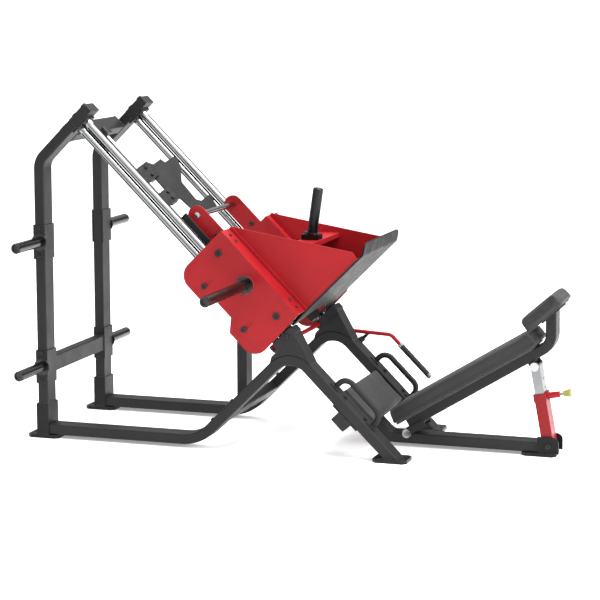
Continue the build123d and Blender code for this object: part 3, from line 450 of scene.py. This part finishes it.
SLOT_FINISH = {
    "grey_paint": powder_coat("grey_powder_coat", GREY, (0.16, 0.16, 0.17)),
    "red_paint": powder_coat("red_powder_coat", RED, (0.55, 0.09, 0.085), 0.36, 0.08),
    "chrome_shafts": chrome(),
    "footplate_paint": tread_plate(),
    "bolts": bolt_steel(),
    "vinyl": vinyl("charcoal_vinyl", PAD),
    "board": faced_board(),
    "black_rubber": rubber("black_rubber"),
    "black_plastic": moulded("black_moulding", (0.009, 0.009, 0.010)),
    "bronze": bronze(),
    "yellow_knob": moulded("yellow_green_knob", (0.24, 0.235, 0.075), 0.45),
}
OWN_FINISH = {
    "release_grip": ribbed_grip(),
    "strut_tube": chrome("brushed_zinc", 0.2, 0.26),
    "hook_clamps": rubber("clamp_black", (0.008, 0.008, 0.009), 0.5),
    "clamp_screws": rubber("screw_black", (0.006, 0.006, 0.007), 0.45),
    # The strut sleeve gets a darker copy of the red coat: painted shade against the light that the floor
    # throws up on it.
    "strut_sleeve": powder_coat("shaded_red_coat", darker(RED, 0.72), (0.42, 0.07, 0.065), 0.36, 0.08),
    "strut_clevis": powder_coat("black_coat", (0.006, 0.006, 0.0065), (0.07, 0.07, 0.075), 0.4, 0.02),
    "floor_plates": powder_coat("dark_foot_coat", (0.010, 0.010, 0.0105), (0.09, 0.09, 0.095), 0.4, 0.02),
    "hook_plate": powder_coat("dark_hook_coat", (0.009, 0.009, 0.0095), (0.08, 0.08, 0.085), 0.5, 0.0),
    "centre_weight_horn": chrome("black_horn_steel", 0.03, 0.3),
}
OWN_FINISH |= dict.fromkeys(("left_guide_rods", "right_guide_rods"), rod_chrome())
OWN_FINISH |= dict.fromkeys(("left_storage_horns", "right_storage_horns", "side_weight_horns"), horn_steel())


def dress_nodes():
    """Every CAD node gets the finish of its material slot, or its own."""
    for part in frame["record"]["subparts"]:
        name = part["node"]
        finish = OWN_FINISH.get(name, SLOT_FINISH[part["material_slot"]])
        materials = NODES[name].data.materials
        materials.clear()
        materials.append(finish)


# ---- cushions ----
CORNER_RADIUS = 0.008
VOXEL = 0.006
CLOTH_PRESSURE = 4.0
CLOTH_STEPS = 20
HELD_DEPTH = 0.010
SEAM_WIDTH = 0.0045
SEAM_DEPTH = 0.0022
SEAM_DROP = 0.012
SIDE_MARGIN = 0.012
CROWN = 0.0025
FACE_SHARE = 0.55
# How much smaller than its space a pad starts, for the simulation to swell it.
SHRINK = Vector((0.003, 0.003, 0.0015))
# Each cushion's name, the CAD pad that it replaces, its body, its slope, its cap and its fill.
CUSHIONS = (
    ("seat_cushion", "seat_pad", "frame", RAIL_ANGLE, 0.006, 0.85),
    ("back_cushion", "back_pad", "backrest", BACK_ANGLE, 0.006, 0.85),
    ("headrest_cushion", "headrest_pad", "backrest", HEADREST_ANGLE, 0.005, 0.85),
)


def tilted(angle):
    """Unit vectors along a pad, across it and out of it, for a pad raised by angle in the side view."""
    along = Vector((math.cos(angle), 0.0, math.sin(angle)))
    across = Vector((0.0, 1.0, 0.0))
    out = Vector((-math.sin(angle), 0.0, math.cos(angle)))
    return along, across, out


def extent(node, axes):
    """Lowest and highest coordinate of a CAD node along each of the axes."""
    spans = []
    for axis in axes:
        places = [vertex.co.dot(axis) for vertex in NODES[node].data.vertices]
        spans.append((min(places), max(places)))
    return spans


def link(name, mesh):
    """New object of a mesh, made the active one."""
    obj = bpy.data.objects.new(name, mesh)
    bpy.context.scene.collection.objects.link(obj)
    bpy.context.view_layer.objects.active = obj
    return obj


def apply_all(obj):
    """Bakes an object's modifiers into its mesh."""
    graph = bpy.context.evaluated_depsgraph_get()
    mesh = bpy.data.meshes.new_from_object(obj.evaluated_get(graph))
    obj.modifiers.clear()
    obj.data = mesh


def bevelled_block(name, size, radius):
    """Block about the origin with rounded edges and corners."""
    bm = bmesh.new()
    bmesh.ops.create_cube(bm, size=1.0)
    bmesh.ops.scale(bm, vec=size, verts=bm.verts)
    rounding = {"offset": radius, "segments": 4, "profile": 0.5, "affect": "EDGES", "clamp_overlap": True}
    bmesh.ops.bevel(bm, geom=list(bm.edges), **rounding)
    mesh = bpy.data.meshes.new(name)
    bm.to_mesh(mesh)
    bm.free()
    return link(name, mesh)


def inflate(obj, half, cap):
    """Blows the block up like stuffed vinyl, held at the back. No point moves further than cap."""
    remesh = obj.modifiers.new("voxels", "REMESH")
    remesh.mode = "VOXEL"
    remesh.voxel_size = VOXEL
    apply_all(obj)
    start = [vertex.co.copy() for vertex in obj.data.vertices]
    held = obj.vertex_groups.new(name="held")
    held.add([v.index for v in obj.data.vertices if v.co.z < -half.z + HELD_DEPTH], 1.0, "REPLACE")
    cloth = obj.modifiers.new("cloth", "CLOTH")
    cloth.settings.use_pressure = True
    cloth.settings.uniform_pressure_force = CLOTH_PRESSURE
    cloth.settings.effector_weights.gravity = 0.0
    cloth.settings.vertex_group_mass = "held"
    cloth.settings.quality = 4
    cloth.collision_settings.use_collision = False
    cloth.point_cache.frame_end = CLOTH_STEPS
    scene = bpy.context.scene
    for number in range(1, CLOTH_STEPS + 1):
        scene.frame_set(number)
    apply_all(obj)
    scene.frame_set(1)
    for vertex, home in zip(obj.data.vertices, start):
        move = vertex.co - home
        if move.length > cap:
            vertex.co = home + move.normalized() * cap


def seam_dip(distance):
    """Depth of a sewn seam at a distance from its line."""
    return SEAM_DEPTH * math.exp(-((distance / SEAM_WIDTH) ** 2))


def dress_pad(obj, half):
    """Crowns the face and sinks the boxing seam round the sides."""
    for vertex in obj.data.vertices:
        place = vertex.co
        u = max(-1.0, min(1.0, place.x / half.x))
        v = max(-1.0, min(1.0, place.y / half.y))
        if place.z > half.z * FACE_SHARE:
            place.z += CROWN * (1 - u ** 4) * (1 - v ** 4)
        if max(abs(place.x) - half.x, abs(place.y) - half.y) > -SIDE_MARGIN:
            dip = seam_dip(place.z - (half.z - SEAM_DROP))
            if abs(place.x) / half.x > abs(place.y) / half.y:
                place.x -= math.copysign(dip, place.x)
            else:
                place.y -= math.copysign(dip, place.y)
        place.z = max(place.z, -half.z)


def cushion(name, node, body, angle, cap, fill):
    """Upholstered pad with a boxing seam, in place of a plain CAD one."""
    axes = tilted(angle)
    spans = extent(node, axes)
    centre = sum((axis * (low + high) / 2 for axis, (low, high) in zip(axes, spans)), Vector())
    half = Vector([(high - low) / 2 for low, high in spans])
    shrink = SHRINK
    obj = bevelled_block(name, (half - shrink) * 2, CORNER_RADIUS)
    obj.data.transform(Matrix.Translation((0.0, 0.0, -shrink.z)))
    inflate(obj, half, cap)
    dress_pad(obj, half)
    subdivide = obj.modifiers.new("fine", "SUBSURF")
    subdivide.levels = 1
    subdivide.render_levels = 1
    apply_all(obj)
    turn = Matrix((axes[0], axes[1], axes[2])).transposed().to_4x4()
    obj.data.transform(Matrix.Translation(centre) @ turn)
    for polygon in obj.data.polygons:
        polygon.use_smooth = True
    obj.data.materials.clear()
    obj.data.materials.append(SLOT_FINISH["vinyl"])
    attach(obj, body)
    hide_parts(node)


# ---- weld beads ----
BEAD = 0.0028
HEAVY_BEAD = 0.0035
RIPPLE = 0.004
RIPPLE_THIN = 0.72
RING_CORNER = 0.007

# Places where tubes end, as p, q, x and z of the middle of the joint and as y out from the middle.
FRAME_Y = 0.343
CROSS_TUBE_END_Y = 0.292
REAR_POST_X = 0.025
LEG_X = 1.7344
PLATE_TOP = 0.0175
SLEEVE_TOP = 0.1685
REAR_TUBE_Z = 0.3485
TOP_BEAM_P = -0.9395
TOP_BEAM_Q = 1.134
SEAT_NECK_P = 0.9925
SEAT_NECK_Q = 1.198
HORN_LEVELS = (("lower", 0.347), ("upper", 0.95))
HORN_FOOT_Y = 0.3995
WEIGHT_HORN_P = 0.191
WEIGHT_HORN_Q = 1.312
WEIGHT_HORN_FOOT_Y = 0.4075

# Outlines that the beads follow, as the two sides of a tube or the radius of a round foot.
TOP_BEAM_RING = (0.075, 0.052)
REAR_TUBE_RING = (0.05, 0.079)
LEG_RING = (0.073, 0.1)
FRAME_TUBE_RING = (0.05, 0.1)
SLEEVE_RING = (0.062, 0.112)
HORN_RING = 0.0385
WEIGHT_HORN_RING = 0.0425


def bead(name, places, body, finish, thickness=BEAD):
    """Rippled fillet weld along a closed line of places."""
    curve = bpy.data.curves.new(name, "CURVE")
    curve.dimensions = "3D"
    curve.bevel_depth = thickness
    curve.bevel_resolution = 2
    fine = []
    for start, end in zip(places, places[1:] + places[:1]):
        steps = max(1, round((end - start).length / RIPPLE))
        fine += [start.lerp(end, step / steps) for step in range(steps)]
    spline = curve.splines.new("POLY")
    spline.points.add(len(fine) - 1)
    for index, (point, place) in enumerate(zip(spline.points, fine)):
        point.co = (*place, 1.0)
        point.radius = 1.0 if index % 2 else RIPPLE_THIN
    spline.use_cyclic_u = True
    holder = bpy.data.objects.new(name + "_curve", curve)
    bpy.context.scene.collection.objects.link(holder)
    mesh = bpy.data.meshes.new_from_object(holder)
    bpy.data.objects.remove(holder)
    for polygon in mesh.polygons:
        polygon.use_smooth = True
    obj = link(name, mesh)
    mesh.materials.append(finish)
    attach(obj, body)


def rail_place(p, q, y):
    """A place given in rail coordinates and across the machine."""
    return Vector(((p + q) * DIAG - HALF, y, (q - p) * DIAG))


def post_place(x, y, z):
    """A place with x counted from the rear face of the rear posts."""
    return Vector((x - HALF, y, z))


def tube_ring(centre, one, other, size):
    """Rounded rectangle of places round a tube's end."""
    wide, tall = size
    ring = []
    for corner, (sx, sy) in enumerate(((1, 1), (-1, 1), (-1, -1), (1, -1))):
        for step in range(4):
            angle = math.radians(90 * corner + 30 * step)
            a = sx * (wide / 2 - RING_CORNER) + RING_CORNER * math.cos(angle)
            b = sy * (tall / 2 - RING_CORNER) + RING_CORNER * math.sin(angle)
            ring.append(centre + one * a + other * b)
    return ring


def circle_ring(centre, one, other, radius):
    """Circle of places."""
    turns = [math.radians(15 * step) for step in range(24)]
    return [centre + one * (radius * math.cos(t)) + other * (radius * math.sin(t)) for t in turns]


def welds():
    """Beads where the frame's tubes, plates and horns are welded together."""
    grey = weld_metal("grey_weld", GREY)
    red = weld_metal("red_weld", RED)

    def frame_bead(name, ring, thickness=BEAD):
        bead(name, ring, "frame", grey, thickness)

    for side, s in (("left", -1), ("right", 1)):
        beam_end = rail_place(TOP_BEAM_P, TOP_BEAM_Q, s * CROSS_TUBE_END_Y)
        frame_bead(f"{side}_top_beam_weld", tube_ring(beam_end, DOWN_RODS, OUT_FROM_RODS, TOP_BEAM_RING))
        tube_end = post_place(REAR_POST_X, s * CROSS_TUBE_END_Y, REAR_TUBE_Z)
        frame_bead(f"{side}_rear_tube_weld", tube_ring(tube_end, EAST, UP, REAR_TUBE_RING))
        leg_foot = post_place(LEG_X, s * FRAME_Y, PLATE_TOP)
        frame_bead(f"{side}_leg_weld", tube_ring(leg_foot, EAST, NORTH, LEG_RING))
        sleeve_rim = post_place(REAR_POST_X, s * FRAME_Y, SLEEVE_TOP)
        frame_bead(f"{side}_post_weld", tube_ring(sleeve_rim, EAST, NORTH, FRAME_TUBE_RING), HEAVY_BEAD)
        sleeve_foot = post_place(REAR_POST_X, s * FRAME_Y, PLATE_TOP)
        frame_bead(f"{side}_sleeve_weld", tube_ring(sleeve_foot, EAST, NORTH, SLEEVE_RING))
        for level, z in HORN_LEVELS:
            horn_foot = post_place(REAR_POST_X, s * HORN_FOOT_Y, z)
            frame_bead(f"{side}_{level}_horn_weld", circle_ring(horn_foot, EAST, UP, HORN_RING))
        horn_foot = rail_place(WEIGHT_HORN_P, WEIGHT_HORN_Q, s * WEIGHT_HORN_FOOT_Y)
        ring = circle_ring(horn_foot, DOWN_RODS, OUT_FROM_RODS, WEIGHT_HORN_RING)
        bead(f"{side}_weight_horn_weld", ring, "sled", red)
    neck = rail_place(SEAT_NECK_P, SEAT_NECK_Q, 0.0)
    frame_bead("seat_neck_weld", tube_ring(neck, OUT_FROM_RODS, NORTH, FRAME_TUBE_RING))


# ---- build ----
camera()
studio()
dress_nodes()
for pad in CUSHIONS:
    cushion(*pad)
welds()
